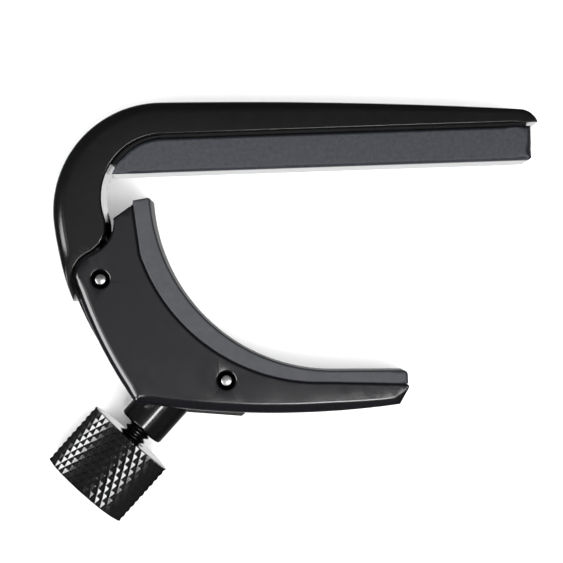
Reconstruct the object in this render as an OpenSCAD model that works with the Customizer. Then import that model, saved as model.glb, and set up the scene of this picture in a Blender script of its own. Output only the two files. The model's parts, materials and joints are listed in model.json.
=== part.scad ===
// Guitar capo: C-shaped frame, hinged jaw and a micrometer clamping screw.
// X runs along the fret pad, Y points from the neck up to the arm, and Z
// crosses the width, so the capo lies on its flat side.
// The origin is the centre of the fret pad's face. Sizes are in millimetres.

/* [Widths across the capo] */
// Width of the frame and of the jaw
body_w = 13; // [12.6:0.1:14]
// Width of the channel inside the jaw
channel_w = 6.8; // [6.7:0.05:7.2]
// Thickness of the frame's tongue and tail, which run inside that channel
tail_w = 6.1; // [5.8:0.05:6.3]
// Width of both rubber pads
pad_w = 12.5; // [12:0.1:12.6]

/* [Frame] */
// Radius of the outer corner of the C
corner_r = 13.95; // [13.7:0.05:14.2]
// Radius of the slightly crowned top of the arm
crown_r = 674; // [600:10:800]
// Radius of the frame's long back
back_r = 40.3; // [39.8:0.1:40.8]
// Radius of the rounded lobe above the hinge
lobe_r = 4; // [3.9:0.05:4.1]
// Length of the arm, from the middle of the pad to where its nose curves down
arm_end = 26.3; // [26:0.1:27]

/* [Fret pad] */
// Thickness of the pad
pad_t = 4.85; // [4.6:0.05:5]
// Reach of the pad to the right of its middle
pad_right = 27.6; // [27:0.1:28]

/* [Jaw] */
// Radius of the neck pad's hollow
throat_r = 23.55; // [23.4:0.05:23.7]
// Radius of the jaw's knuckle round the hinge pin
knuckle_r = 3.35; // [3.2:0.05:3.4]
// Thickness of the web behind the neck pad
web_t = 2; // [1.9:0.05:2.1]
// Radius of the jaw's long bottom edge
belly_r = 114.7; // [110:0.5:120]
// Length of the jaw to the right of the origin
jaw_reach = 11; // [10.8:0.1:12]

/* [Hinge and pins] */
// Diameter of the two dowel pins
pin_d = 1.4; // [1.2:0.05:1.5]
// Diameter of the recess round each pin end
recess_d = 2.4; // [2.2:0.1:2.8]
// Depth of that recess
recess_depth = 1.3; // [0.8:0.1:1.5]
// How far the jaw can close from where it is drawn, in degrees
close_angle = 5.53; // [3:0.01:5.6]
// How far the jaw can open from where it is drawn, in degrees
open_angle = 4; // [2:0.1:4]

/* [Clamping screw] */
// Diameter of the barrel
barrel_d = 6.4; // [6.2:0.05:6.5]
// Diameter over the screw's thread
screw_d = 3.5; // [3.3:0.05:3.5]
// Diameter of the knob
knob_d = 12.3; // [11.6:0.1:12.5]
// Length of the knob
knob_len = 9.3; // [8:0.1:10]
// Gap between the knob and the barrel
knob_gap = 1.7; // [1.7:0.05:2.5]

/* [Hidden] */
$fn = 96;
eps = 0.01;

// Longest straight piece in a curved outline, and its largest turn in degrees
chord = 0.8;
turn = 6;
fillet_steps = 8;

// Hinge axis, cross pin of the thrust block, and the centre of the outer corner
hinge = [-28.36, -13.43];
block_pin_at = [-12.62, -26.95];
corner_c = [-20.3, -4.85];
corner_top = 88.92;
corner_back = 185.8;

// Direction in which the screw advances, and the middle of the barrel's end face
screw_dir = 46.2;
barrel_end = [-24.2, -32.85];

function pol(a) = [cos(a), sin(a)];
function ang(v) = atan2(v.y, v.x);
function turned(p, a) = [p.x * cos(a) - p.y * sin(a), p.x * sin(a) + p.y * cos(a)];
function swung(p, a) = hinge + turned(p - hinge, a);
function along(t, w = 0) = barrel_end + t * pol(screw_dir) + w * pol(screw_dir + 90);
function arc(c, r, a0, a1) =
    let (n = max(2, ceil(abs(a1 - a0) / turn), ceil(abs(a1 - a0) * r * PI / 180 / chord)))
    [for (i = [0:n]) c + r * pol(a0 + (a1 - a0) * i / n)];
// Angle on circle c1, r1 of its crossing with circle c2, r2
function crossing(c1, r1, c2, r2, side) =
    let (d = norm(c2 - c1))
    ang(c2 - c1) + side * acos((r1 * r1 + d * d - r2 * r2) / (2 * r1 * d));

// Arc of radius r that rounds the corner at b between the lines to a and to c
function fillet(a, b, c, r) =
    let (
        u = (a - b) / norm(a - b), v = (c - b) / norm(c - b), half = acos(u * v) / 2,
        m = b + (u + v) / norm(u + v) * r / sin(half),
        a0 = ang(b + u * r / tan(half) - m), a1 = ang(b + v * r / tan(half) - m),
        sweep = a1 - a0 - 360 * round((a1 - a0) / 360)
    )
    [for (i = [0:fillet_steps]) m + r * pol(a0 + sweep * i / fillet_steps)];

// Centres that make neighbouring arcs run into each other without a kink
crown_c = corner_c - (crown_r - corner_r) * pol(corner_top);
back_c = corner_c - (back_r - corner_r) * pol(corner_back);
inner_c = [-19.93, -3.13];
inner_r = pad_t - inner_c.y;
lobe_at = 195.9;
lobe_c = inner_c + (inner_r + lobe_r) * pol(lobe_at);
socket_r = norm(lobe_c - hinge) - lobe_r;

// Frame outline at full width
arm_end_angle = acos((arm_end - crown_c.x) / crown_r);
nose_r = 2.4;
nose_c = crown_c + (crown_r - nose_r) * pol(arm_end_angle);
// The rim tapers off beside the knuckle, from the end of the socket to the back
socket_end = 200;
rim_end = 200.2;
frame_pts = concat(
    arc(inner_c, inner_r, 90, lobe_at),
    arc(lobe_c, lobe_r, lobe_at - 180, ang(hinge - lobe_c)),
    arc(hinge, socket_r, ang(lobe_c - hinge), socket_end),
    arc(back_c, back_r, rim_end, corner_back),
    arc(corner_c, corner_r, corner_back, corner_top),
    arc(crown_c, crown_r, corner_top, arm_end_angle),
    arc(nose_c, nose_r, arm_end_angle, asin((pad_t - nose_c.y) / nose_r)));

// Line that the underside of the thrust block reaches with the jaw wide open
open_dir = screw_dir - 90 - open_angle;
tail_clear = 0.35;
function under_block(rho) = hinge + rho * pol(open_dir) - tail_clear * pol(open_dir + 90);

// Tongue and tail outline, inside the jaw and set in a little from the back
tail_inset = 0.4;
shoulder_t = 5.8;
heel_angle = 214;
tail_start = 188;
toe_rho = 22.4;
tail_pts = concat(
    arc(back_c, back_r - tail_inset, tail_start, heel_angle),
    [[-26.7, -25.5], along(shoulder_t, 4.6), along(shoulder_t, -3.3),
     [-10.9, -31.7], [-10.45, -31.4], [-10.45, -30.6], [-10.8, -30.35],
     under_block(toe_rho), under_block(0), [-28.5, -7]]);
boss_r = 3.2;
bush_d = 3.2;

// Cross pin that stops the barrel from turning in the tail
lock_d = 0.8;
lock_at = along(7.6, -2.55);

// The seam round the fret pad, which its rail fills under the arm
pad_seam = 0.35;
pad_top = pad_t - pad_seam;
// The seam widens round the pad's curved left end
pad_curve_shift = 0.25;
pad_curve_r = inner_r - pad_seam - pad_curve_shift;
pad_curve_c = [inner_c.x + pad_curve_shift, pad_top - pad_curve_r];
pad_left_angle = 154.5;
pad_left = -26.45;
pad_corner = 0.7;

// Seat of the neck pad: straight at its top, then a long arc that runs out flat
seat_top = [-23.95, -3.98];
seat_c = [0.05, -3.28];
seat_r = 24.36;
seat_start = 197;
seat_end = [9.7, -28.15];
seat_pts = concat([seat_top], arc(seat_c, seat_r, seat_start, 270), [seat_end]);

// Neck pad: a hollow for the back of the neck that runs out flat at its foot
throat_c = [1.9, -2.6];
throat_start = 183;
throat_end = 269;
neck_pad_shoulder = [-23.85, -3.42];
neck_pad_top = [-21.66, -3.1];
neck_pad_flat = [0, -26.35];
neck_pad_tip = [10.7, -26.4];
neck_pad_foot = [10.7, -28.15];
neck_pad_top_r = 0.35;
neck_pad_tip_r = 0.6;
neck_pad_pts = concat(
    arc(throat_c, throat_r, throat_start, throat_end),
    fillet(neck_pad_flat, neck_pad_tip, neck_pad_foot, neck_pad_tip_r),
    [neck_pad_foot],
    [for (i = [len(seat_pts) - 1:-1:0]) seat_pts[i]],
    [neck_pad_shoulder],
    fillet(neck_pad_shoulder, neck_pad_top, throat_c + throat_r * pol(throat_start), neck_pad_top_r));

// Jaw outline
jaw_back_c = [24.24, 2.71];
jaw_back_r = norm(jaw_back_c - hinge) + knuckle_r;
belly_c = [-2.93, 83.25];
heel_r = 1.3;
swing_spare = 1;
hollow_c = swung(lobe_c, -close_angle - swing_spare);
hollow_r = lobe_r + 0.2;
hollow_end = 6;
bend = acos((knuckle_r + hollow_r) / norm(hollow_c - hinge));
to_hollow = ang(hollow_c - hinge);
// The heel arc touches the back arc and the belly arc from inside
heel_c = jaw_back_c + (jaw_back_r - heel_r)
    * pol(crossing(jaw_back_c, jaw_back_r - heel_r, belly_c, belly_r - heel_r, 1));
tip_x = 9.6;
tip_r = 0.3;
tip_top = [jaw_reach, seat_end.y - 0.1];
tip_low = [tip_x, belly_c.y - sqrt(pow(belly_r, 2) - pow(tip_x - belly_c.x, 2))];
tip_angle = 270 + asin((tip_x - belly_c.x) / belly_r);
jaw_pts = concat(
    seat_pts,
    fillet(seat_end, tip_top, tip_low, tip_r),
    arc(belly_c, belly_r, tip_angle, ang(heel_c - belly_c) + 360),
    arc(heel_c, heel_r, ang(heel_c - belly_c) + 360, ang(heel_c - jaw_back_c) + 360),
    arc(jaw_back_c, jaw_back_r, ang(heel_c - jaw_back_c) + 360, ang(hinge - jaw_back_c) + 360),
    arc(hinge, knuckle_r, ang(hinge - jaw_back_c) + 360, to_hollow + bend),
    arc(hollow_c, hollow_r, to_hollow + 180 + bend - 360, hollow_end));

// Channel in the jaw, and the pocket for the thrust block
channel_end = -8.6;
roof_r = seat_r + web_t;
pocket_r = seat_r + 1.04;
block_a0 = -2.6;
block_a1 = 6;
block_play = 0.1;
block_w = channel_w - 0.3;

// Dowels and thrust washers
pin_len = body_w - 0.5;
washer_d = 5;

// Places along the screw, measured inwards from the barrel's end face
face_t = (hinge - barrel_end) * pol(screw_dir);
mouth_t = 0.9;
insert_end = 6.9;
spigot_end = 9;
spigot_d = 4.8;
insert_d = 4.4;
foot_bore_d = 3.9;
foot_d = 3.5;
foot_len = 2.6;
foot_gap = 0.04;
foot_end = face_t - foot_gap;
foot_start = foot_end - foot_len;
dome_r = 3;
dome_rise = dome_r - sqrt(pow(dome_r, 2) - pow(foot_d / 2, 2));
foot_hole_end = foot_end - dome_rise - 0.35;
neck_d = 1.6;
tip_d = 2.2;
run = 0.05;
washer_t = (channel_w - tail_w) / 2 - run;

// Groove in the foot for its clip
groove_t = 0.25;
clip_d = 2.9;
clip_t = 0.35;

// Knob and its grub screw
knob_edge = 0.15;
knob_wall = 1.4;
knob_start = -knob_gap - knob_len;
grub_d = 2.5;
grub_len = 3.6;
grub_t = -knob_gap - knob_len * 0.62;

// Return spring and its pocket in the lobe, in line with the web it pushes on
spring_y = -8.2;
spring_x0 = -31.6;
spring_x1 = seat_c.x - sqrt(pow(roof_r, 2) - pow(spring_y - seat_c.y, 2)) - 0.1;
spring_d = 2.2;
spring_bore = 2.7;
wire_d = 0.36;
spring_turns = 6;
spring_steps = 12;
spring_sides = 6;

// Key of the fret pad rail in the arm and in the pad, and its flange
rail_x0 = -18;
rail_x1 = 23;
rail_w = 6;
rail_up = 0.8;
rail_down = 1.15;
flange_inset = 0.6;
flange_play = 0.05;
flange_end = 146;
flange_w = pad_w - 2 * flange_inset;

// Drawing aids: a slab about the middle plane, a cross hole, and the screw axis
module slab(w) { translate([0, 0, -w / 2]) linear_extrude(w) children(); }
module cross_pin(p, d, len) { translate([p.x, p.y, -len / 2]) cylinder(d = d, h = len); }
module on_screw(t) {
    translate([along(t).x, along(t).y, 0]) rotate([0, 0, screw_dir]) rotate([0, 90, 0]) children();
}
module tube(t0, t1, d, bore) {
    on_screw(t0) difference() {
        cylinder(d = d, h = t1 - t0);
        translate([0, 0, -eps]) cylinder(d = bore, h = t1 - t0 + 2 * eps);
    }
}

module frame_arm() {
    color([0.09, 0.09, 0.095]) difference() {
        union() {
            slab(body_w) polygon(frame_pts);
            slab(tail_w) {
                polygon(tail_pts);
                translate(hinge) circle(boss_r);
            }
        }
        cross_pin(hinge, bush_d, body_w + 1);
        on_screw(shoulder_t - 1) cylinder(d = spigot_d, h = 6);
        cross_pin(lock_at, lock_d, body_w + 1);
        translate([spring_x0, spring_y, 0]) rotate([0, 90, 0]) cylinder(d = spring_bore, h = 6);
        translate([rail_x0, pad_t - eps, -rail_w / 2])
            cube([rail_x1 - rail_x0, rail_up + eps, rail_w]);
    }
}

module fret_pad() {
    color([0.3, 0.31, 0.34]) difference() {
        slab(pad_w) polygon(concat(
            [[pad_right, pad_top]],
            arc(pad_curve_c, pad_curve_r, 90, pad_left_angle),
            [[pad_left, 0]],
            fillet([pad_left, 0], [pad_right, 0], [pad_right, pad_top], pad_corner)));
        translate([rail_x0, pad_t - rail_down, -rail_w / 2])
            cube([rail_x1 - rail_x0, rail_down, rail_w]);
    }
}

// Key that carries the pad in the arm, with a thin flange that fills the seam and
// follows it round the pad's curved end
module fret_pad_rail() {
    color([0.12, 0.12, 0.12]) {
        translate([rail_x0, pad_t - rail_down, -rail_w / 2])
            cube([rail_x1 - rail_x0, rail_down + rail_up, rail_w]);
        translate([inner_c.x, pad_top, -flange_w / 2])
            cube([pad_right - flange_inset - inner_c.x, pad_seam, flange_w]);
        slab(flange_w) polygon(concat(
            [[inner_c.x + 1, pad_t - flange_play]],
            arc(inner_c, inner_r - flange_play, 90, flange_end),
            arc(pad_curve_c, pad_curve_r + flange_play, flange_end, 90),
            [[inner_c.x + 1, pad_top + flange_play]]));
    }
}

// Bronze bush in the tongue, on which the jaw's pin turns
module hinge_bush() {
    color([0.72, 0.5, 0.25]) difference() {
        cross_pin(hinge, bush_d, tail_w);
        cross_pin(hinge, pin_d + 2 * run, tail_w + 1);
    }
}

module barrel() {
    color([0.05, 0.05, 0.055]) difference() {
        on_screw(0) rotate_extrude() polygon([
            [0, 0], [barrel_d / 2 - 0.35, 0], [barrel_d / 2, 0.35], [barrel_d / 2, shoulder_t],
            [spigot_d / 2, shoulder_t], [spigot_d / 2, spigot_end], [0, spigot_end]]);
        on_screw(-1) cylinder(d = insert_d, h = insert_end + 1);
        on_screw(0) cylinder(d = spigot_d, h = mouth_t * 2, center = true);
        on_screw(insert_end - eps) cylinder(d = foot_bore_d, h = spigot_end);
        cross_pin(lock_at, lock_d, body_w);
    }
}

module barrel_lock_pin() {
    color([0.7, 0.7, 0.72]) cross_pin(lock_at, lock_d, tail_w);
}

module thread_insert() {
    color([0.78, 0.62, 0.3]) tube(mouth_t, insert_end, insert_d, screw_d + 2 * run);
}

module friction_ring() {
    color([0.85, 0.85, 0.8]) tube(0.1, mouth_t, spigot_d, screw_d + 2 * run);
}

// Helical compression spring, drawn at its length with the jaw as shown
function spring_ring(i) =
    let (
        a = 360 * i / spring_steps,
        mid_r = (spring_d - wire_d) / 2,
        free = spring_x1 - spring_x0 - wire_d - 0.1,
        x = spring_x0 + 0.05 + wire_d / 2 + free * i / (spring_turns * spring_steps)
    )
    [for (k = [0:spring_sides - 1])
        let (b = 360 * k / spring_sides, rr = mid_r + wire_d / 2 * cos(b))
        [x + wire_d / 2 * sin(b), spring_y + rr * cos(a), rr * sin(a)]];
module return_spring() {
    last = spring_turns * spring_steps;
    points = [for (i = [0:last]) each spring_ring(i)];
    sides = [for (i = [0:last - 1], k = [0:spring_sides - 1])
        let (m = (k + 1) % spring_sides, p = i * spring_sides)
        [p + k, p + m, p + spring_sides + m, p + spring_sides + k]];
    ends = [[for (k = [spring_sides - 1:-1:0]) k],
            [for (k = [0:spring_sides - 1]) last * spring_sides + k]];
    color([0.75, 0.75, 0.77]) polyhedron(points, concat(sides, ends));
}

module channel_2d(r) {
    difference() {
        translate([-50, -45]) square([50 + channel_end, 45]);
        translate(seat_c) circle(r);
    }
}

// Band along the plane that the screw presses on, shortened by the play at both ends
module block_band(play) {
    translate(along(face_t)) rotate(screw_dir - 90) translate([block_a0 + play, 0])
        square([block_a1 - block_a0 - 2 * play, 4]);
}

module jaw() {
    color([0.12, 0.12, 0.125]) difference() {
        slab(body_w) polygon(jaw_pts);
        slab(channel_w) channel_2d(roof_r);
        slab(channel_w) intersection() {
            channel_2d(pocket_r);
            block_band(0);
        }
        for (p = [hinge, block_pin_at]) {
            cross_pin(p, pin_d, body_w + 1);
            for (s = [-1, 1])
                translate([p.x, p.y, s * (body_w / 2)])
                    cylinder(d = recess_d, h = 2 * recess_depth, center = true);
        }
    }
}

module neck_pad() {
    color([0.3, 0.31, 0.32]) slab(pad_w) polygon(neck_pad_pts);
}

module hinge_pin() {
    color([0.8, 0.8, 0.8]) cross_pin(hinge, pin_d, pin_len);
}

module block_pin() {
    color([0.8, 0.8, 0.8]) cross_pin(block_pin_at, pin_d, pin_len);
}

// Thrust washers between the tongue and the jaw's cheeks
module hinge_washers() {
    color([0.9, 0.9, 0.88]) for (s = [-1, 1])
        translate([hinge.x, hinge.y, s * (channel_w / 2 - washer_t / 2)]) difference() {
            cylinder(d = washer_d, h = washer_t, center = true);
            cylinder(d = pin_d, h = 1, center = true);
        }
}

// Hardened block that takes the thrust of the screw, held by its cross pin
module thrust_block() {
    color([0.45, 0.45, 0.47]) difference() {
        slab(block_w) intersection() {
            channel_2d(pocket_r + 0.02);
            block_band(block_play);
        }
        cross_pin(block_pin_at, pin_d, body_w);
    }
}

// Domed foot, which slides but doesn't turn, clipped over the screw's tip
module swivel_foot() {
    color([0.78, 0.62, 0.3]) difference() {
        intersection() {
            on_screw(foot_start) cylinder(d = foot_d, h = foot_len);
            on_screw(foot_end - dome_r) sphere(r = dome_r);
        }
        on_screw(foot_start - 1) cylinder(d = tip_d + 4 * run, h = foot_hole_end - foot_start + 1);
        on_screw(foot_start + groove_t) cylinder(d = clip_d, h = clip_t + 2 * run);
    }
}

module foot_clip() {
    on_clip = foot_start + groove_t + run;
    color([0.7, 0.7, 0.72]) difference() {
        tube(on_clip, on_clip + clip_t, clip_d, neck_d + 4 * run);
        on_screw(on_clip - 0.5) translate([-0.4, 0, 0]) cube([0.8, 3, 2]);
    }
}

// Screw: shank in the knob, thread through the insert, neck and tip in the foot
module adjusting_screw() {
    neck_t0 = foot_start - 0.25;
    tip_t0 = foot_start + groove_t + clip_t + 4 * run;
    tip_t1 = foot_hole_end - run;
    start = knob_start + knob_wall;
    color([0.55, 0.55, 0.57]) on_screw(0) rotate_extrude() polygon([
        [0, start], [screw_d / 2, start], [screw_d / 2, neck_t0], [neck_d / 2, neck_t0],
        [neck_d / 2, tip_t0], [tip_d / 2, tip_t0], [tip_d / 2, tip_t1], [0, tip_t1]]);
}

module knob() {
    color([0.06, 0.06, 0.06]) difference() {
        on_screw(knob_start) rotate_extrude() polygon([
            [0, 0], [knob_d / 2 - knob_edge, 0], [knob_d / 2, knob_edge],
            [knob_d / 2, knob_len - knob_edge], [knob_d / 2 - knob_edge, knob_len],
            [0, knob_len]]);
        on_screw(knob_start + knob_wall) cylinder(d = screw_d, h = knob_len);
        translate([along(grub_t).x, along(grub_t).y, -knob_d]) cylinder(d = grub_d, h = knob_d);
    }
}

module knob_grub_screw() {
    color([0.4, 0.4, 0.42]) translate([along(grub_t).x, along(grub_t).y, -screw_d / 2 - grub_len])
        difference() {
            cylinder(d = grub_d, h = grub_len);
            translate([0, 0, -eps]) cylinder(d = 1.45, h = 1.3, $fn = 6);
        }
}

frame_arm();
fret_pad();
fret_pad_rail();
hinge_bush();
barrel();
barrel_lock_pin();
thread_insert();
friction_ring();
return_spring();
jaw();
neck_pad();
hinge_pin();
hinge_washers();
thrust_block();
block_pin();
swivel_foot();
foot_clip();
adjusting_screw();
knob();
knob_grub_screw();
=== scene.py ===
"""Guitar capo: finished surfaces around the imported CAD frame. All lengths are in metres."""

import json
import math

import bmesh
import bpy
from mathutils import Matrix, Vector

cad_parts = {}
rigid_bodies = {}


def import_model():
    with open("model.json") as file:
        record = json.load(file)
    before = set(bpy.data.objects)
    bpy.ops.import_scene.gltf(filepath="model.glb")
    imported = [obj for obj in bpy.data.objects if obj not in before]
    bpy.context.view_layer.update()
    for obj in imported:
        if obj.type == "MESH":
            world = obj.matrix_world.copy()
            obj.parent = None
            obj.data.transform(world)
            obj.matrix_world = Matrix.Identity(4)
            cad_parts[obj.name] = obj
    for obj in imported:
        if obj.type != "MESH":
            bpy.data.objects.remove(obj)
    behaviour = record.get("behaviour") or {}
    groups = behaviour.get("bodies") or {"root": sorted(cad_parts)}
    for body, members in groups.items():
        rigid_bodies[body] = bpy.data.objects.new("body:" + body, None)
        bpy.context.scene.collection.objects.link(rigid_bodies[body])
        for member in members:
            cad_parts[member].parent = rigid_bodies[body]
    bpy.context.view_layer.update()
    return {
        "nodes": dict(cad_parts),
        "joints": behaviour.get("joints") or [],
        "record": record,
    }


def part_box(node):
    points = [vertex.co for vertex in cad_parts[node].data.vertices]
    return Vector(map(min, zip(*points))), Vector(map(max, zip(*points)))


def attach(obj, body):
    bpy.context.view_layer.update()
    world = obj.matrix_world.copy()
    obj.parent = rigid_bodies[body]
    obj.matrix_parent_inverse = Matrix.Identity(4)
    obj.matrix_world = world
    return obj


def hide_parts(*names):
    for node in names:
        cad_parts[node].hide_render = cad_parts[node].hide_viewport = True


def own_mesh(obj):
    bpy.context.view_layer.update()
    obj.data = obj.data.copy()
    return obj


for leftover in list(bpy.data.objects):
    bpy.data.objects.remove(leftover)

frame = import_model()
MM = 0.001
MICRON = 1e-6
ON_PLANE = 2 * MICRON  # a vertex this near a plane lies on it
NODES = frame["nodes"]
RECORD = frame["record"]
JOINTS = {joint["name"]: joint for joint in frame["joints"]}
BODY_OF = {node: body for body, nodes in RECORD["behaviour"]["bodies"].items() for node in nodes}
SLOT_OF = {part["node"]: part["material_slot"] for part in RECORD["subparts"]}
FLOOR_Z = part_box("frame_arm")[0].z
TOP_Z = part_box("frame_arm")[1].z

SCREW_POS = Vector(JOINTS["knob_turn"]["pos_m"])
SCREW_DIR = Vector(JOINTS["knob_turn"]["axis"]).normalized()
HINGE_POS = Vector(JOINTS["jaw_swing"]["pos_m"])
PINS = ("hinge_pin", "block_pin")


# ---------------------------------------------------------------- materials

def shader(name):
    """A new material with its node tree, its Principled shader and its object coordinates."""
    material = bpy.data.materials.new(name)
    material.use_nodes = True
    tree = material.node_tree
    return material, tree, tree.nodes["Principled BSDF"], tree.nodes.new("ShaderNodeTexCoord")


def noise(tree, coordinates, scale, detail=3.0, grit=0.5, stretch=None):
    """The value of a noise whose features are about 1/scale metres across. Grit adds finer ones."""
    texture = tree.nodes.new("ShaderNodeTexNoise")
    texture.inputs["Scale"].default_value = scale
    texture.inputs["Detail"].default_value = detail
    texture.inputs["Roughness"].default_value = grit
    source = coordinates.outputs["Object"]
    if stretch:
        mapping = tree.nodes.new("ShaderNodeMapping")
        mapping.inputs["Rotation"].default_value = stretch["turn"]
        mapping.inputs["Scale"].default_value = stretch["scale"]
        tree.links.new(source, mapping.inputs["Vector"])
        source = mapping.outputs["Vector"]
    tree.links.new(source, texture.inputs["Vector"])
    return texture.outputs["Fac"]


def ramp(tree, value, low, high, start=0.3, end=0.7):
    """Runs from low to high, two greys or colours, as value runs from start to end."""
    node = tree.nodes.new("ShaderNodeValToRGB")
    for element, place, colour in zip(node.color_ramp.elements, (start, end), (low, high)):
        element.position = place
        element.color = (*colour, 1) if hasattr(colour, "__len__") else (colour, colour, colour, 1)
    tree.links.new(value, node.inputs["Fac"])
    return node.outputs["Color"]


def bump(tree, bsdf, layers):
    """Adds bump from (value, height in metres) layers, coarse ones first."""
    normal = None
    for value, height in layers:
        node = tree.nodes.new("ShaderNodeBump")
        node.inputs["Strength"].default_value = 1.0
        node.inputs["Distance"].default_value = height
        tree.links.new(value, node.inputs["Height"])
        if normal:
            tree.links.new(normal, node.inputs["Normal"])
        normal = node.outputs["Normal"]
    tree.links.new(normal, bsdf.inputs["Normal"])


def coated_metal(name, dark, light, rough, grain=1.5 * MICRON, specular=0.5, coat=0.0):
    """Black coated metal: a fine satin grain, a slightly uneven sheen and faint clouding."""
    material, tree, bsdf, where = shader(name)
    cloud = noise(tree, where, 90)
    fine = noise(tree, where, 5200, detail=2)
    tree.links.new(ramp(tree, cloud, dark, light), bsdf.inputs["Base Color"])
    tree.links.new(ramp(tree, noise(tree, where, 700), *rough), bsdf.inputs["Roughness"])
    bsdf.inputs["Specular IOR Level"].default_value = specular
    bsdf.inputs["Coat Weight"].default_value = coat
    bsdf.inputs["Coat Roughness"].default_value = 0.12
    bump(tree, bsdf, [(noise(tree, where, 900), grain * 2), (fine, grain)])
    return material


WALL_STEEPNESS, TOP_STEEPNESS = 0.1, 0.5


def smoother_walls(tree, bsdf, top_roughness, wall_roughness):
    """Gives walls, whose normals lie level, their own roughness, apart from faces that look up or down."""
    geometry = tree.nodes.new("ShaderNodeNewGeometry")
    parts = tree.nodes.new("ShaderNodeSeparateXYZ")
    tree.links.new(geometry.outputs["Normal"], parts.inputs["Vector"])
    steep = tree.nodes.new("ShaderNodeMath")
    steep.operation = "ABSOLUTE"
    tree.links.new(parts.outputs["Z"], steep.inputs[0])
    blend = tree.nodes.new("ShaderNodeMapRange")
    blend.inputs["From Min"].default_value = WALL_STEEPNESS
    blend.inputs["From Max"].default_value = TOP_STEEPNESS
    blend.inputs["To Min"].default_value = wall_roughness
    tree.links.new(steep.outputs["Value"], blend.inputs["Value"])
    tree.links.new(top_roughness, blend.inputs["To Max"])
    tree.links.new(blend.outputs["Result"], bsdf.inputs["Roughness"])


def rubber(name, dark, light, rough, speckle, grain, contrast=(0.36, 0.64), wall=0.16):
    """Moulded rubber: a fine speckle over soft clouding, with a matt grained skin."""
    material, tree, bsdf, where = shader(name)
    spots = ramp(tree, noise(tree, where, speckle, detail=6, grit=0.7), dark, light, *contrast)
    tree.links.new(spots, bsdf.inputs["Base Color"])
    smoother_walls(tree, bsdf, ramp(tree, noise(tree, where, 500), *rough), wall)
    bsdf.inputs["Specular IOR Level"].default_value = 0.5
    coarse, fine = noise(tree, where, speckle * 0.6), noise(tree, where, speckle * 2)
    bump(tree, bsdf, [(coarse, grain), (fine, grain / 2)])
    return material


def bare_metal(name, dark, light, rough, turned=False):
    """Machined metal: fine tool marks, drawn out along the part where it was turned."""
    material, tree, bsdf, where = shader(name)
    marks = {"turn": (0, 0, -math.atan2(SCREW_DIR.y, SCREW_DIR.x)), "scale": (7, 1, 1)} if turned else None
    lines = noise(tree, where, 2600, stretch=marks)
    tree.links.new(ramp(tree, lines, dark, light), bsdf.inputs["Base Color"])
    tree.links.new(ramp(tree, noise(tree, where, 1500), *rough), bsdf.inputs["Roughness"])
    bsdf.inputs["Metallic"].default_value = 1.0
    bump(tree, bsdf, [(lines, 2 * MICRON)])
    return material


def plastic(name, dark, light, rough, specular=0.5):
    """Moulded plastic with a fine matt skin."""
    material, tree, bsdf, where = shader(name)
    tree.links.new(ramp(tree, noise(tree, where, 800), dark, light), bsdf.inputs["Base Color"])
    tree.links.new(ramp(tree, noise(tree, where, 1800), *rough), bsdf.inputs["Roughness"])
    bsdf.inputs["Specular IOR Level"].default_value = specular
    bump(tree, bsdf, [(noise(tree, where, 3200), 3 * MICRON)])
    return material


MATERIALS = {
    "frame_black": coated_metal("frame_black", 0.0022, 0.0034, (0.15, 0.20), specular=0.42),
    "jaw_black": coated_metal("jaw_black", (0.0048, 0.0045, 0.0060), (0.0068, 0.0065, 0.0084), (0.12, 0.17)),
    "barrel_black": coated_metal("barrel_black", 0.003, 0.005, (0.12, 0.18), grain=0.5 * MICRON, coat=0.2),
    "knob_black": coated_metal("knob_black", 0.003, 0.005, (0.14, 0.22), grain=0.6 * MICRON, specular=1.0),
    "fret_pad_rubber": rubber("fret_pad_rubber", (0.015, 0.018, 0.024), (0.038, 0.041, 0.050),
                              (0.46, 0.56), 2100, 4 * MICRON, contrast=(0.3, 0.7)),
    "neck_pad_rubber": rubber("neck_pad_rubber", (0.036, 0.038, 0.045), (0.048, 0.049, 0.057),
                              (0.46, 0.54), 900, 2 * MICRON, wall=0.5),
    "pin_steel": bare_metal("pin_steel", 0.26, 0.4, (0.22, 0.34)),
    "screw_steel": bare_metal("screw_steel", 0.035, 0.07, (0.24, 0.36), turned=True),
    "spring_steel": bare_metal("spring_steel", 0.42, 0.6, (0.22, 0.34)),
    "brass": bare_metal("brass", (0.62, 0.42, 0.16), (0.78, 0.56, 0.26), (0.24, 0.36), turned=True),
    "bronze": bare_metal("bronze", (0.36, 0.22, 0.10), (0.52, 0.33, 0.17), (0.4, 0.52)),
    "nylon": plastic("nylon", (0.66, 0.65, 0.6), (0.78, 0.77, 0.72), (0.42, 0.52)),
    "rail_plastic": plastic("rail_plastic", 0.004, 0.007, (0.5, 0.6), specular=0.15),
}


# ---------------------------------------------------------------- mesh helpers

def cad_copy(node):
    """A welded copy of a CAD node's mesh, with its flat faces joined up again."""
    bm = bmesh.new()
    bm.from_mesh(NODES[node].data)
    bmesh.ops.remove_doubles(bm, verts=bm.verts, dist=1e-7)
    bmesh.ops.dissolve_limit(bm, angle_limit=math.radians(0.05), verts=bm.verts, edges=bm.edges)
    return bm


def new_object(name, bm):
    """A new object in the scene, made from the mesh."""
    mesh = bpy.data.meshes.new(name)
    bm.to_mesh(mesh)
    bm.free()
    return add_to_scene(bpy.data.objects.new(name, mesh))


def add_to_scene(obj):
    bpy.context.scene.collection.objects.link(obj)
    return obj


def at_height(vertex, z):
    return abs(vertex.co.z - z) < ON_PLANE


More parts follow.
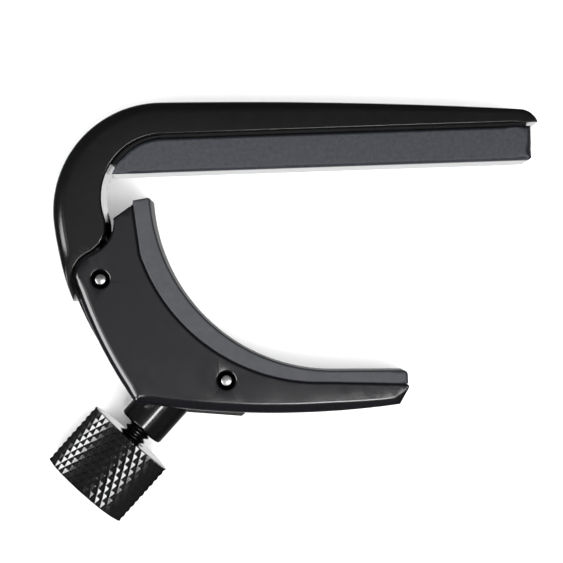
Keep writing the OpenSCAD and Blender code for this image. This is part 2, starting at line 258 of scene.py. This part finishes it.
def cap_loops(bm, z):
    """The edge loops, as ordered vertices, of the faces that lie flat at height z, outline first."""
    flat = {f for f in bm.faces if all(at_height(v, z) for v in f.verts)}
    links = {}
    for edge in bm.edges:
        if sum(face in flat for face in edge.link_faces) == 1:
            a, b = edge.verts
            links.setdefault(a, []).append(b)
            links.setdefault(b, []).append(a)
    loops = []
    left = set(links)
    while left:
        start = min(left, key=lambda v: (v.co.x, v.co.y))
        loop = [start]
        left.discard(start)
        while True:
            onward = [v for v in links[loop[-1]] if v in left]
            if not onward:
                break
            loop.append(onward[0])
            left.discard(onward[0])
        loops.append(loop)
    loops.sort(key=lambda loop: -abs(area(loop)))
    for i, loop in enumerate(loops):
        if (area(loop) > 0) != (i == 0):
            loop.reverse()
    return loops


def split_long(loop, longest=0.9 * MM):
    """Adds vertices along an outline's long straight edges, and returns the longer loop."""
    result = []
    for i, vertex in enumerate(loop):
        onward = loop[(i + 1) % len(loop)]
        result.append(vertex)
        count = math.ceil((onward.co - vertex.co).length / longest)
        for k in range(count, 1, -1):
            edge = next(e for e in vertex.link_edges if e.other_vert(vertex) == onward)
            _, vertex = bmesh.utils.edge_split(edge, vertex, 1 / k)
            result.append(vertex)
    return result


def area(loop):
    """Signed area of a loop of vertices, positive when it runs anticlockwise seen from above."""
    return sum(a.co.x * b.co.y - b.co.x * a.co.y for a, b in zip(loop, loop[1:] + loop[:1])) / 2


def inward(loop):
    """At each vertex the step into the material that moves both neighbouring edges by one unit."""
    steps = []
    for i, vertex in enumerate(loop):
        before = (vertex.co - loop[i - 1].co).xy.normalized()
        after = (loop[(i + 1) % len(loop)].co - vertex.co).xy.normalized()
        both = Vector((-(before.y + after.y), before.x + after.x))
        both.normalize()
        cosine = max(0.5, both.dot(Vector((-after.y, after.x))))
        steps.append(both / cosine)
    return steps


def clearance(loop, steps):
    """At each vertex the distance through the material to the other side of the outline."""
    points = [v.co.xy for v in loop]
    count = len(points)
    found = []
    for i, (point, step) in enumerate(zip(points, steps)):
        way = step.normalized()
        nearest = 1.0
        for j in range(count):
            if j in (i, (i - 1) % count):
                continue
            a, b = points[j], points[(j + 1) % count]
            side = b - a
            bottom = way.x * side.y - way.y * side.x
            if abs(bottom) < 1e-12:
                continue
            gap = a - point
            along = (gap.x * side.y - gap.y * side.x) / bottom
            across = (gap.x * way.y - gap.y * way.x) / bottom
            if along > 1e-6 and 0 <= across <= 1:
                nearest = min(nearest, along)
        found.append(nearest)
    return found


def blurred(values, points, width):
    """Values round a closed loop, smoothed over about width metres."""
    count = len(values)
    result = []
    for i in range(count):
        total = weight_sum = 0.0
        for direction in (1, -1):
            reach = 0.0
            j = i
            while reach < width and abs(j - i) < count:
                weight = 1 - reach / width
                total += values[j % count] * weight
                weight_sum += weight
                reach += (points[(j + direction) % count] - points[j % count]).length
                j += direction
        result.append(total / weight_sum)
    return result


ROUND_SHARE = 0.36
ROUND_BLUR = 2 * MM
FITTING_ROUNDS = 60
SHRINK = 0.88


def fitting_radii(loop, wanted):
    """Edge radii that follow wanted, but fit the material and turn no edge round."""
    steps = inward(loop)
    points = [v.co.xy for v in loop]
    room = clearance(loop, steps)
    radii = blurred([min(w, ROUND_SHARE * r) for w, r in zip(wanted, room)], points, ROUND_BLUR)
    count = len(loop)
    for _ in range(FITTING_ROUNDS):
        moved = [p + s * r for p, s, r in zip(points, steps, radii)]
        turned = [i for i in range(count)
                  if (moved[(i + 1) % count] - moved[i]).dot(points[(i + 1) % count] - points[i])
                  < 0.1 * (points[(i + 1) % count] - points[i]).length_squared]
        if not turned:
            break
        for i in turned:
            for j in range(i - 2, i + 4):
                radii[j % count] *= SHRINK
    return steps, radii


def round_caps(bm, z, radius_at, steps=7, hole_radius=0.0, drop=1.0):
    """Rounds the rim of the flat face at height z. radius_at gives the radius for each outline vertex.

    The rounding is drop times as deep as it is wide, so a drop over 1 gives a steeper flank.
    """
    up = 1 if z > 0 else -1
    loops = cap_loops(bm, z)
    loops[0] = split_long(loops[0])
    caps = [f for f in bm.faces if all(at_height(v, z) for v in f.verts)]
    bmesh.ops.delete(bm, geom=caps, context="FACES_ONLY")
    rims = []
    for number, loop in enumerate(loops):
        if number == 0:
            directions, radii = fitting_radii(loop, radius_at(loop))
        else:
            directions, radii = inward(loop), [hole_radius] * len(loop)
        base = [v.co.copy() for v in loop]
        ring = loop
        for vertex, radius in zip(loop, radii):
            vertex.co.z = z - up * radius * drop
        for k in range(1, steps + 1):
            turn = math.pi / 2 * k / steps
            fresh = []
            for start, direction, radius in zip(base, directions, radii):
                inset = radius * (1 - math.cos(turn))
                height = z - up * radius * drop * (1 - math.sin(turn))
                x = start.x + direction.x * inset
                y = start.y + direction.y * inset
                fresh.append(bm.verts.new((x, y, height)))
            for i in range(len(ring)):
                j = (i + 1) % len(ring)
                bm.faces.new((ring[i], ring[j], fresh[j], fresh[i]))
            ring = fresh
        rims += [bm.edges.get((ring[i], ring[(i + 1) % len(ring)])) for i in range(len(ring))]
    bmesh.ops.triangle_fill(bm, edges=rims, use_beauty=True, use_dissolve=False)


def soften(bm, chosen, width):
    """Bevels the chosen edges by width."""
    edges = [e for e in bm.edges if len(e.link_faces) == 2 and chosen(e)]
    bmesh.ops.bevel(bm, geom=edges, offset=width, offset_type="OFFSET", segments=2,
                    profile=0.5, affect="EDGES", clamp_overlap=True)


def is_corner(edge, least=50):
    """A convex edge whose faces meet at more than least degrees."""
    return edge.calc_face_angle_signed(0) > math.radians(least)


def piece(bm, name, node, sharp=38, facets=False):
    """Turns the mesh into a finished piece that stands for a CAD node and rides on its body."""
    bmesh.ops.recalc_face_normals(bm, faces=bm.faces)
    for face in bm.faces:
        face.smooth = not facets
    for edge in bm.edges:
        edge.smooth = edge.calc_face_angle(0) < math.radians(sharp)
    obj = new_object(name, bm)
    obj.data.materials.append(MATERIALS[SLOT_OF[node]])
    if not facets:
        weighted = obj.modifiers.new("weighted_normals", "WEIGHTED_NORMAL")
        weighted.keep_sharp = True
        weighted.weight = 80
    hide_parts(node)
    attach(obj, BODY_OF[node])
    return obj


def on_screw():
    """Takes points given round the screw's axis, with z along it, to their places in the frame."""
    turn = Vector((0, 0, 1)).rotation_difference(SCREW_DIR).to_matrix().to_4x4()
    return Matrix.Translation(SCREW_POS) @ turn


def along_screw(node):
    """(place along the screw's axis, distance from it) of each vertex of a CAD node."""
    found = []
    for vertex in NODES[node].data.vertices:
        offset = vertex.co - SCREW_POS
        place = offset.dot(SCREW_DIR)
        found.append((place, (offset - SCREW_DIR * place).length))
    return found


def lathe(bm, profile, segments=96):
    """Spins a closed profile of (place along z, radius) points. A radius of 0 is a point on the axis."""
    rings = []
    for place, radius in profile:
        if radius == 0:
            rings.append([bm.verts.new((0, 0, place))])
        else:
            turns = [2 * math.pi * k / segments for k in range(segments)]
            rings.append([bm.verts.new((radius * math.cos(a), radius * math.sin(a), place)) for a in turns])
    closed = profile[0][1] > 0 and profile[-1][1] > 0
    for ring, onward in zip(rings, rings[1:] + (rings[:1] if closed else [])):
        for k in range(segments):
            m = (k + 1) % segments
            near = [ring[k % len(ring)], ring[m % len(ring)]]
            far = [onward[m % len(onward)], onward[k % len(onward)]]
            bm.faces.new(list(dict.fromkeys(near + far)))


def rounded_corner(a, b, c, radius, steps=5):
    """Points of an arc that rounds the corner at b of a profile."""
    a, b, c = Vector(a), Vector(b), Vector(c)
    u, v = (a - b).normalized(), (c - b).normalized()
    half = u.angle(v) / 2
    centre = b + (u + v).normalized() * radius / math.sin(half)
    first, last = b + u * radius / math.tan(half) - centre, b + v * radius / math.tan(half) - centre
    sweep = first.angle_signed(last)
    points = []
    for k in range(steps + 1):
        turned = Matrix.Rotation(-sweep * k / steps, 2) @ first
        points.append(tuple(centre + turned))
    return points


def rounded_profile(corners):
    """A profile from (place, radius, rounding) corners. A rounding of 0 leaves a corner sharp."""
    points = [(place, radius) for place, radius, rounding in corners]
    result = []
    for i, (point, corner) in enumerate(zip(points, corners)):
        rounding = corner[2]
        if rounding == 0:
            result.append(point)
        else:
            result += rounded_corner(points[i - 1], point, points[(i + 1) % len(points)], rounding)
    return result


# ---------------------------------------------------------------- frame and jaw

FRAME_ROUND = 1.7 * MM
JAW_ROUND = 1.35 * MM
CRISP_ROUND = 0.28 * MM
TONGUE_EDGE = 0.22 * MM
BUSH_REACH = 2.2 * MM
TONGUE_HALF = (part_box("hinge_bush")[1].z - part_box("hinge_bush")[0].z) / 2


def outside_radii(loop, first, last, outer):
    """Edge radii that are large anticlockwise from vertex first to vertex last, and crisp elsewhere."""
    count = len(loop)
    outside = {(first + k) % count for k in range((last - first) % count + 1)}
    return [outer if i in outside else CRISP_ROUND for i in range(count)]


def frame_radii(loop):
    """The outside of the C, from the nose round to the rim above the jaw, is well rounded."""
    nose = max(range(len(loop)), key=lambda i: loop[i].co.x)
    rim = min(range(len(loop)), key=lambda i: loop[i].co.y)
    return outside_radii(loop, nose, rim, FRAME_ROUND)


def on_tongue_rim(edge):
    """A corner of the tongue's flat sides that isn't the rim of the bush's hole."""
    at_side = all(abs(abs(v.co.z) - TONGUE_HALF) < ON_PLANE for v in edge.verts)
    round_bush = all((v.co - HINGE_POS).xy.length < BUSH_REACH for v in edge.verts)
    return is_corner(edge) and at_side and not round_bush


def make_frame():
    bm = cad_copy("frame_arm")
    for z in (TOP_Z, FLOOR_Z):
        round_caps(bm, z, frame_radii)
    soften(bm, on_tongue_rim, TONGUE_EDGE)
    return piece(bm, "frame_casting", "frame_arm")


def jaw_radii(loop):
    """The outside of the jaw, from the knuckle down the back and along the belly to the tip."""
    knuckle = min(range(len(loop)), key=lambda i: loop[i].co.x)
    tip = max(range(len(loop)), key=lambda i: loop[i].co.x)
    return outside_radii(loop, knuckle, tip, JAW_ROUND)


RECESS_SLOPE = 0.9 * MM
RECESS_RIM = 0.2 * MM
RECESS_REACH, BORE_REACH = 2.2, 1.12  # in pin radii


def make_jaw():
    bm = cad_copy("jaw")
    for z in (TOP_Z, FLOOR_Z):
        round_caps(bm, z, jaw_radii, hole_radius=RECESS_RIM)
    deepen_recesses(bm)
    return piece(bm, "jaw_casting", "jaw")


def deepen_recesses(bm):
    """Replaces the flat floor round each pin end with a cone that slopes down to the pin."""
    for pin in PINS:
        low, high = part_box(pin)
        centre = ((low + high) / 2).xy
        pin_radius = (high.x - low.x) / 2
        for up in (1, -1):
            half = [v for v in bm.verts if v.co.z * up > 0]
            near = [v for v in half if (v.co.xy - centre).length < RECESS_REACH * pin_radius]
            bore = [v for v in near if (v.co.xy - centre).length < BORE_REACH * pin_radius]
            floor_z = max(v.co.z * up for v in bore)
            level = [v for v in near if abs(v.co.z * up - floor_z) < ON_PLANE]
            flat = [f for f in bm.faces if all(v in level for v in f.verts)]
            edges = {e for f in flat for e in f.edges}
            rims = [e for e in edges if sum(f in flat for f in e.link_faces) == 1]
            bmesh.ops.delete(bm, geom=flat, context="FACES_ONLY")
            bmesh.ops.bridge_loops(bm, edges=rims)
            for vertex in set(bore) & set(level):
                vertex.co.z -= up * RECESS_SLOPE


# ---------------------------------------------------------------- pads

def make_pad(node, end_length, end_round, side_round, drop=1.0):
    """A rubber pad whose free end is rounded more than the rest of its rim."""
    bm = cad_copy(node)
    low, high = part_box(node)

    def radii(loop):
        return [end_round if v.co.x > high.x - end_length else side_round for v in loop]

    for z in (high.z, low.z):
        round_caps(bm, z, radii, drop=drop)
    pad = piece(bm, node + "_rubber", node)


# ---------------------------------------------------------------- knob, screw and barrel

TEETH = 37
TOOTH_DEPTH = 0.3 * MM
TOOTH_ROWS = 10
TOOTH_FLAT = 0.1
KNOB_EDGE = 0.1 * MM
KNOB_LIP = ((0.06 * MM, 0.1 * MM), (0, 0.22 * MM))  # (in from the end, in from the teeth's roots)
DISH_DEPTH = 0.25 * MM
DISH_RIM, DISH_FLOOR = 1.1 * MM, 1.35 * MM  # in from the teeth's roots
BORE_EDGE = 0.25 * MM
GRUB_HOLE_DEPTH = 4.35 * MM


def knurl(bm, radius, low, high):
    """Diamond knurl: rows of blunt pyramids. Returns the open rims at both ends."""
    row_height = (high - low) / TOOTH_ROWS
    pitch = 2 * math.pi / TEETH
    root = radius - TOOTH_DEPTH
    corners = {}

    def corner(i, j):
        """Valley crossing number i, in half pitches round the knob, on row j."""
        key = (i % (2 * TEETH), j)
        if key not in corners:
            a = key[0] * pitch / 2
            corners[key] = bm.verts.new((root * math.cos(a), root * math.sin(a), low + j * row_height))
        return corners[key]

    def top(i, j, across, up):
        """A corner of the flat top of tooth i on row j."""
        a = (i + across * TOOTH_FLAT) * pitch / 2
        place = low + (j + up * TOOTH_FLAT) * row_height
        return bm.verts.new((radius * math.cos(a), radius * math.sin(a), place))

    rims = {0: [], TOOTH_ROWS: []}
    for j in range(TOOTH_ROWS + 1):
        for i in range(j % 2, 2 * TEETH + j % 2, 2):
            left, right = corner(i - 1, j), corner(i + 1, j)
            flat_left, flat_right = top(i, j, -1, 0), top(i, j, 1, 0)
            flat = [flat_left, flat_right]
            if j > 0:
                below, flat_below = corner(i, j - 1), top(i, j, 0, -1)
                bm.faces.new((left, below, flat_below, flat_left))
                bm.faces.new((below, right, flat_right, flat_below))
                flat = [flat_left, flat_below, flat_right]
            if j < TOOTH_ROWS:
                above, flat_above = corner(i, j + 1), top(i, j, 0, 1)
                bm.faces.new((right, above, flat_above, flat_right))
                bm.faces.new((above, left, flat_left, flat_above))
                flat = flat + [flat_above]
            bm.faces.new(flat)
            if j in rims:
                rims[j] += [left, flat_left, flat_right]
    return rims[0], rims[TOOTH_ROWS]


def end_of_knob(bm, rim, rings):
    """Closes one end of the knob with rings of (place, radius), the last one on the axis."""
    angles = [math.atan2(v.co.y, v.co.x) for v in rim]
    for place, radius in rings:
        if radius == 0:
            centre = bm.verts.new((0, 0, place))
            for i in range(len(rim)):
                bm.faces.new((rim[i], rim[(i + 1) % len(rim)], centre))
            return
        ring = [bm.verts.new((radius * math.cos(a), radius * math.sin(a), place)) for a in angles]
        for i in range(len(rim)):
            j = (i + 1) % len(rim)
            bm.faces.new((rim[i], rim[j], ring[j], ring[i]))
        rim = ring


def make_knob():
    places = along_screw("knob")
    low, high = min(p for p, r in places), max(p for p, r in places)
    radius = max(r for p, r in places)
    bore = max(r for p, r in along_screw("adjusting_screw"))
    bottom = min(p for p, r in along_screw("adjusting_screw"))
    bm = bmesh.new()
    near, far = knurl(bm, radius, low + KNOB_EDGE, high - KNOB_EDGE)
    root = radius - TOOTH_DEPTH
    dish = low + DISH_DEPTH
    near_lip = [(low + back, root - inset) for back, inset in KNOB_LIP]
    far_lip = [(high - back, root - inset) for back, inset in KNOB_LIP]
    end_of_knob(bm, near, near_lip + [(low, root - DISH_RIM), (dish, root - DISH_FLOOR),
                                      (dish, root / 2), (dish, 0)])
    end_of_knob(bm, far, far_lip + [(high, bore + BORE_EDGE), (high - BORE_EDGE, bore),
                                    (bottom, bore), (bottom, 0)])
    bm.transform(on_screw())
    obj = piece(bm, "knob_knurled", "knob", facets=True)
    for polygon in obj.data.polygons:
        polygon.use_smooth = False
    drill_for_grub(obj)
    return obj


def drill_for_grub(obj):
    """Bores the grub screw's hole from the knob's far side."""
    low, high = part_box("knob_grub_screw")
    centre, radius = (low + high) / 2, (high.x - low.x) / 2
    bm = bmesh.new()
    bmesh.ops.create_cone(bm, cap_ends=True, segments=48, radius1=radius, radius2=radius,
                          depth=2 * GRUB_HOLE_DEPTH)
    bmesh.ops.translate(bm, verts=bm.verts, vec=(centre.x, centre.y, high.z - GRUB_HOLE_DEPTH))
    cutter = new_object("grub_hole", bm)
    cut = obj.modifiers.new("grub_hole", "BOOLEAN")
    cut.operation = "DIFFERENCE"
    cut.solver = "EXACT"
    cut.object = cutter
    bpy.context.view_layer.update()
    depsgraph = bpy.context.evaluated_depsgraph_get()
    fresh = bpy.data.meshes.new_from_object(obj.evaluated_get(depsgraph))
    obj.modifiers.clear()
    obj.data = fresh
    bpy.data.objects.remove(cutter)


THREAD_PITCH = 25.4 / 32 * MM
THREAD_DEPTH = 0.42 * MM
THREAD_START = 0.5 * MM
THREAD_SPARE = 1.6 * MM
SCREW_COLUMNS = 48
HEAD_EDGE = 0.15 * MM
SHOULDER_LENGTH, SHOULDER_EDGE = 0.1 * MM, 0.12 * MM
TIP_EDGE = 0.1 * MM
THREAD_SHAPE = ((0.0, 1.0), (0.1, 1.0), (0.5, 0.0), (0.6, 0.0))


def make_screw():
    """A right-hand helical thread that runs from inside the knob to the neck in the swivel foot."""
    places = along_screw("adjusting_screw")
    low, high = min(p for p, r in places), max(p for p, r in places)
    radius = max(r for p, r in places)
    shoulder = max(p for p, r in places if r > 0.95 * radius)
    tip_radius = max(r for p, r in places if p > high - TIP_EDGE)
    neck_radius = min(r for p, r in places if shoulder - 0.01 * MM < p < high and r > 0.3 * MM)
    tip_start = min(p for p, r in places if p > shoulder + 0.02 * MM and abs(r - tip_radius) < 0.02 * MM)
    columns = SCREW_COLUMNS
    period = len(THREAD_SHAPE)
    turns = int((shoulder - low - THREAD_SPARE) / THREAD_PITCH) - 1
    first = low + THREAD_START
    bm = bmesh.new()
    rows = []
    for j in range(turns * period + 1):
        share, height = THREAD_SHAPE[j % period]
        r = radius - THREAD_DEPTH * (1 - height)
        row = []
        for k in range(columns):
            place = first + THREAD_PITCH * (j // period + share + k / columns)
            a = 2 * math.pi * k / columns
            row.append(bm.verts.new((r * math.cos(a), r * math.sin(a), place)))
        rows.append(row)
    for j in range(len(rows) - 1):
        for k in range(columns - 1):
            bm.faces.new((rows[j][k], rows[j][k + 1], rows[j + 1][k + 1], rows[j + 1][k]))
        if j + 1 + period < len(rows):
            bm.faces.new((rows[j][-1], rows[j + period][0], rows[j + 1 + period][0], rows[j + 1][-1]))
    root = radius - THREAD_DEPTH

    def plain(place, r):
        """A ring round the axis."""
        angles = [2 * math.pi * k / columns for k in range(columns)]
        return [bm.verts.new((r * math.cos(a), r * math.sin(a), place)) for a in angles]

    def join(ring, onward):
        for k in range(columns):
            m = (k + 1) % columns
            bm.faces.new((ring[k], ring[m], onward[m], onward[k]))

    start = plain(low + HEAD_EDGE, root)
    for k in range(columns - 1):
        bm.faces.new((start[k], start[k + 1], rows[0][k + 1], rows[0][k]))
    bm.faces.new([start[-1], start[0]] + [rows[j][0] for j in range(period + 1)] + [rows[0][-1]])
    end = plain(shoulder - SHOULDER_LENGTH, root)
    last = len(rows) - 1
    for k in range(columns - 1):
        bm.faces.new((rows[last][k], rows[last][k + 1], end[k + 1], end[k]))
    bm.faces.new([rows[last - period + j][-1] for j in range(period + 1)] + [end[-1], end[0], rows[last][0]])
    tail = [plain(shoulder, root - SHOULDER_EDGE), plain(shoulder, neck_radius),
            plain(tip_start, neck_radius), plain(tip_start, tip_radius),
            plain(high - TIP_EDGE, tip_radius), plain(high, tip_radius - TIP_EDGE)]
    for ring, onward in zip([end] + tail, tail):
        join(ring, onward)
    bm.faces.new(tail[-1])
    head = plain(low, root - HEAD_EDGE)
    join(head, start)
    bm.faces.new(head)
    bm.transform(on_screw())
    return piece(bm, "screw_threaded", "adjusting_screw", sharp=28)


MOUTH_EDGE, OUTER_EDGE = 0.08 * MM, 0.4 * MM
BARREL_SHOULDER_EDGE, SPIGOT_EDGE = 0.12 * MM, 0.1 * MM
FOOT_PLAY = 0.2 * MM


def make_barrel():
    """Turned sleeve: a rounded mouth, a shoulder against the tail and a spigot inside it."""
    places = along_screw("barrel")
    radius = max(r for p, r in places)
    shoulder = max(p for p, r in places if r > 0.98 * radius)
    end = max(p for p, r in places)
    spigot = max(r for p, r in places if p > shoulder + 0.5 * MM)
    ring_places = along_screw("friction_ring")
    mouth_bore, mouth_depth = max(r for p, r in ring_places), max(p for p, r in ring_places)
    insert = along_screw("thread_insert")
    insert_bore, insert_end = max(r for p, r in insert), max(p for p, r in insert)
    foot_bore = max(r for p, r in along_screw("swivel_foot")) + FOOT_PLAY
    corners = [(0, mouth_bore, MOUTH_EDGE), (0, radius, OUTER_EDGE),
               (shoulder, radius, BARREL_SHOULDER_EDGE), (shoulder, spigot, 0),
               (end, spigot, SPIGOT_EDGE), (end, foot_bore, 0),
               (insert_end, foot_bore, 0), (insert_end, insert_bore, 0),
               (mouth_depth, insert_bore, 0), (mouth_depth, mouth_bore, 0)]
    bm = bmesh.new()
    lathe(bm, rounded_profile(corners), segments=128)
    bm.transform(on_screw())
    return piece(bm, "barrel_turned", "barrel")


# ---------------------------------------------------------------- pins, spring and small parts

PIN_EDGE = 0.12 * MM
PIN_CROWN = 0.05 * MM


def make_pin(node):
    """A dowel whose ends are softly crowned."""
    low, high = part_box(node)
    centre = (low + high) / 2
    radius = (high.x - low.x) / 2
    profile = [(low.z, 0), (low.z + PIN_CROWN * 0.3, radius * 0.5)]
    profile += [(low.z + PIN_CROWN + PIN_EDGE * (1 - math.cos(a)), radius - PIN_EDGE * (1 - math.sin(a)))
                for a in (0, 0.4, 0.8, 1.2, math.pi / 2)]
    profile += [(centre.z * 2 - place, r) for place, r in reversed(profile)]
    bm = bmesh.new()
    lathe(bm, profile, segments=64)
    bmesh.ops.translate(bm, verts=bm.verts, vec=(centre.x, centre.y, 0))
    return piece(bm, node + "_dowel", node)


SPRING_TURNS = 6
WIRE = 0.36 * MM


def make_spring():
    """Round-wire compression spring, coiled to fill the CAD spring's box."""
    low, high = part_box("return_spring")
    middle = (low + high) / 2
    coil = (high.z - low.z - WIRE) / 2
    stations = 28 * SPRING_TURNS
    sides = 12
    start, length = low.x + WIRE / 2, high.x - low.x - WIRE
    bm = bmesh.new()
    rings = []
    for i in range(stations + 1):
        a = 2 * math.pi * SPRING_TURNS * i / stations
        out = Vector((0, math.cos(a), math.sin(a)))
        hub = Vector((start + length * i / stations, middle.y, middle.z))
        ring = []
        for k in range(sides):
            b = 2 * math.pi * k / sides
            sideways = Vector((WIRE / 2 * math.sin(b), 0, 0))
            ring.append(bm.verts.new(hub + out * (coil + WIRE / 2 * math.cos(b)) + sideways))
        rings.append(ring)
    for ring, onward in zip(rings, rings[1:]):
        for k in range(sides):
            m = (k + 1) % sides
            bm.faces.new((ring[k], ring[m], onward[m], onward[k]))
    bm.faces.new(rings[0])
    bm.faces.new(rings[-1])
    spring = piece(bm, "spring_coil", "return_spring")
    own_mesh(spring)


def finish_cad_nodes():
    """The small inner parts keep their CAD shape and take their materials."""
    for node, obj in NODES.items():
        obj.data.materials.clear()
        obj.data.materials.append(MATERIALS[SLOT_OF[node]])


# ---------------------------------------------------------------- studio

def area_light(name, place, target, size, radiance):
    """A rectangular lamp of the given size and radiance that looks at target."""
    light = bpy.data.lights.new(name, "AREA")
    light.shape = "RECTANGLE"
    light.size, light.size_y = size
    light.energy = math.pi * size[0] * size[1] * radiance
    obj = add_to_scene(bpy.data.objects.new(name, light))
    obj.location = place
    obj.rotation_euler = (Vector(target) - Vector(place)).to_track_quat("-Z", "Y").to_euler()
    return obj


def link_light(light, floor, state):
    """Makes a lamp light only the floor (INCLUDE), or everything but the floor (EXCLUDE)."""
    receivers = bpy.data.collections.new(light.name + "_receivers")
    receivers.objects.link(floor)
    light.light_linking.receiver_collection = receivers
    receivers.collection_objects[0].light_linking.link_state = state


# Sizes and places of the floor, and of the black disc of painted shade that lies under the hinge.
FLOOR_RADIUS, SHADE_DISC_RADIUS = 2.5, 4.6 * MM
FLOOR_DROP, SHADE_DISC_DROP = 0.02 * MM, 0.01 * MM
SHADE_DISC_SHIFT = Vector((-1.4 * MM, 4.9 * MM))


def matt_disc(name, finish, radius, segments, cloud, dark, light):
    """A flat disc of the scene's set, with a matt finish."""
    bm = bmesh.new()
    bmesh.ops.create_circle(bm, cap_ends=True, segments=segments, radius=radius)
    disc = new_object(name, bm)
    material, tree, bsdf, where = shader(finish)
    tree.links.new(ramp(tree, noise(tree, where, cloud), dark, light), bsdf.inputs["Base Color"])
    bsdf.inputs["Roughness"].default_value = 0.9
    bsdf.inputs["Specular IOR Level"].default_value = 0
    disc.data.materials.append(material)
    return disc


def make_floor():
    """A white floor, which glossy reflections don't see."""
    floor = matt_disc("floor", "floor_white", FLOOR_RADIUS, 96, 3, 0.88, 0.9)
    floor.location.z = FLOOR_Z - FLOOR_DROP
    floor.visible_glossy = False
    return floor


def make_painted_shade_disc():
    """A black disc under the hinge that only reflections see. It is painted shade: it stands in for the
    shaded floor, so the gaps there reflect dark.
    """
    painted_shade_disc = matt_disc("painted_shade_disc", "painted_shade_black", SHADE_DISC_RADIUS, 48, 300, 0.004, 0.006)
    painted_shade_disc.location = (*(HINGE_POS.xy + SHADE_DISC_SHIFT), FLOOR_Z - SHADE_DISC_DROP)
    painted_shade_disc.visible_camera = painted_shade_disc.visible_diffuse = painted_shade_disc.visible_shadow = False


BELOW, ABOVE = 0.85, 0.08
SHADES = ((0.02, BELOW), (0.1, 0.1), (0.47, 0.02), (0.53, ABOVE))  # (0 straight down to 1 up, grey)


def make_world():
    """A dim studio, dark towards the horizon below and bright straight down, as a lit table looks."""
    world = bpy.data.worlds.new("studio")
    bpy.context.scene.world = world
    world.use_nodes = True
    tree = world.node_tree
    where = tree.nodes.new("ShaderNodeTexCoord")
    parts = tree.nodes.new("ShaderNodeSeparateXYZ")
    tree.links.new(where.outputs["Generated"], parts.inputs["Vector"])
    height = tree.nodes.new("ShaderNodeMapRange")
    height.inputs["From Min"].default_value = -1
    tree.links.new(parts.outputs["Z"], height.inputs["Value"])
    shades = tree.nodes.new("ShaderNodeValToRGB")
    for place, grey in SHADES:
        element = shades.color_ramp.elements.new(place)
        element.color = (grey, grey, grey, 1)
    shades.color_ramp.elements[0].color = (BELOW, BELOW, BELOW, 1)
    shades.color_ramp.elements[-1].color = (ABOVE, ABOVE, ABOVE, 1)
    tree.links.new(height.outputs["Result"], shades.inputs["Fac"])
    background = tree.nodes["Background"]
    tree.links.new(shades.outputs["Color"], background.inputs["Color"])
    background.inputs["Strength"].default_value = 1.4


CAMERA_HEIGHT = 0.361
CAMERA_X, CAMERA_Y = -5.27 * MM, -18.39 * MM
CAMERA_TURN = -1.95


def make_camera():
    camera = bpy.data.cameras.new("camera")
    camera.lens = 180
    camera.sensor_width = 36
    camera.shift_y = 0.054
    camera.clip_start = 0.01
    obj = add_to_scene(bpy.data.objects.new("camera", camera))
    obj.location = (CAMERA_X, CAMERA_Y, TOP_Z + CAMERA_HEIGHT)
    obj.rotation_euler = (0, 0, math.radians(CAMERA_TURN))
    bpy.context.scene.camera = obj


finish_cad_nodes()
make_frame()
make_jaw()
make_pad("fret_pad", end_length=0.9 * MM, end_round=1.6 * MM, side_round=0.5 * MM, drop=2.2)
make_pad("neck_pad", end_length=0.7 * MM, end_round=0.8 * MM, side_round=0.3 * MM)
make_knob()
make_screw()
make_barrel()
for pin in PINS:
    make_pin(pin)
make_spring()
floor = make_floor()
make_world()
make_camera()
MIDDLE = (-0.01, -0.015, 0)
area_light("lamp_key", (0.026, -0.125, 0.52), MIDDLE, (0.08, 0.08), 22)
area_light("lamp_over", (0, 0, 1.1), MIDDLE, (1.4, 1.4), 0.09)
area_light("lamp_soft", (-0.09, -0.05, 1.05), MIDDLE, (0.2, 0.2), 0.5)
area_light("lamp_right", (0.195, -0.164, 0.544), MIDDLE, (0.07, 0.07), 45)
area_light("lamp_fill", (-0.27, -0.14, 0.53), MIDDLE, (0.26, 0.24), 2)
link_light(area_light("lamp_left", (-0.388, -0.19, 0.28), MIDDLE, (0.37, 0.3), 12), floor, "EXCLUDE")
link_light(area_light("lamp_table", (0.1, -0.12, 0.9), MIDDLE, (0.9, 0.9), 8), floor, "INCLUDE")
# A black disc of painted shade under the hinge, seen only in reflections.
make_painted_shade_disc()
bpy.context.scene.view_settings.view_transform = "Standard"
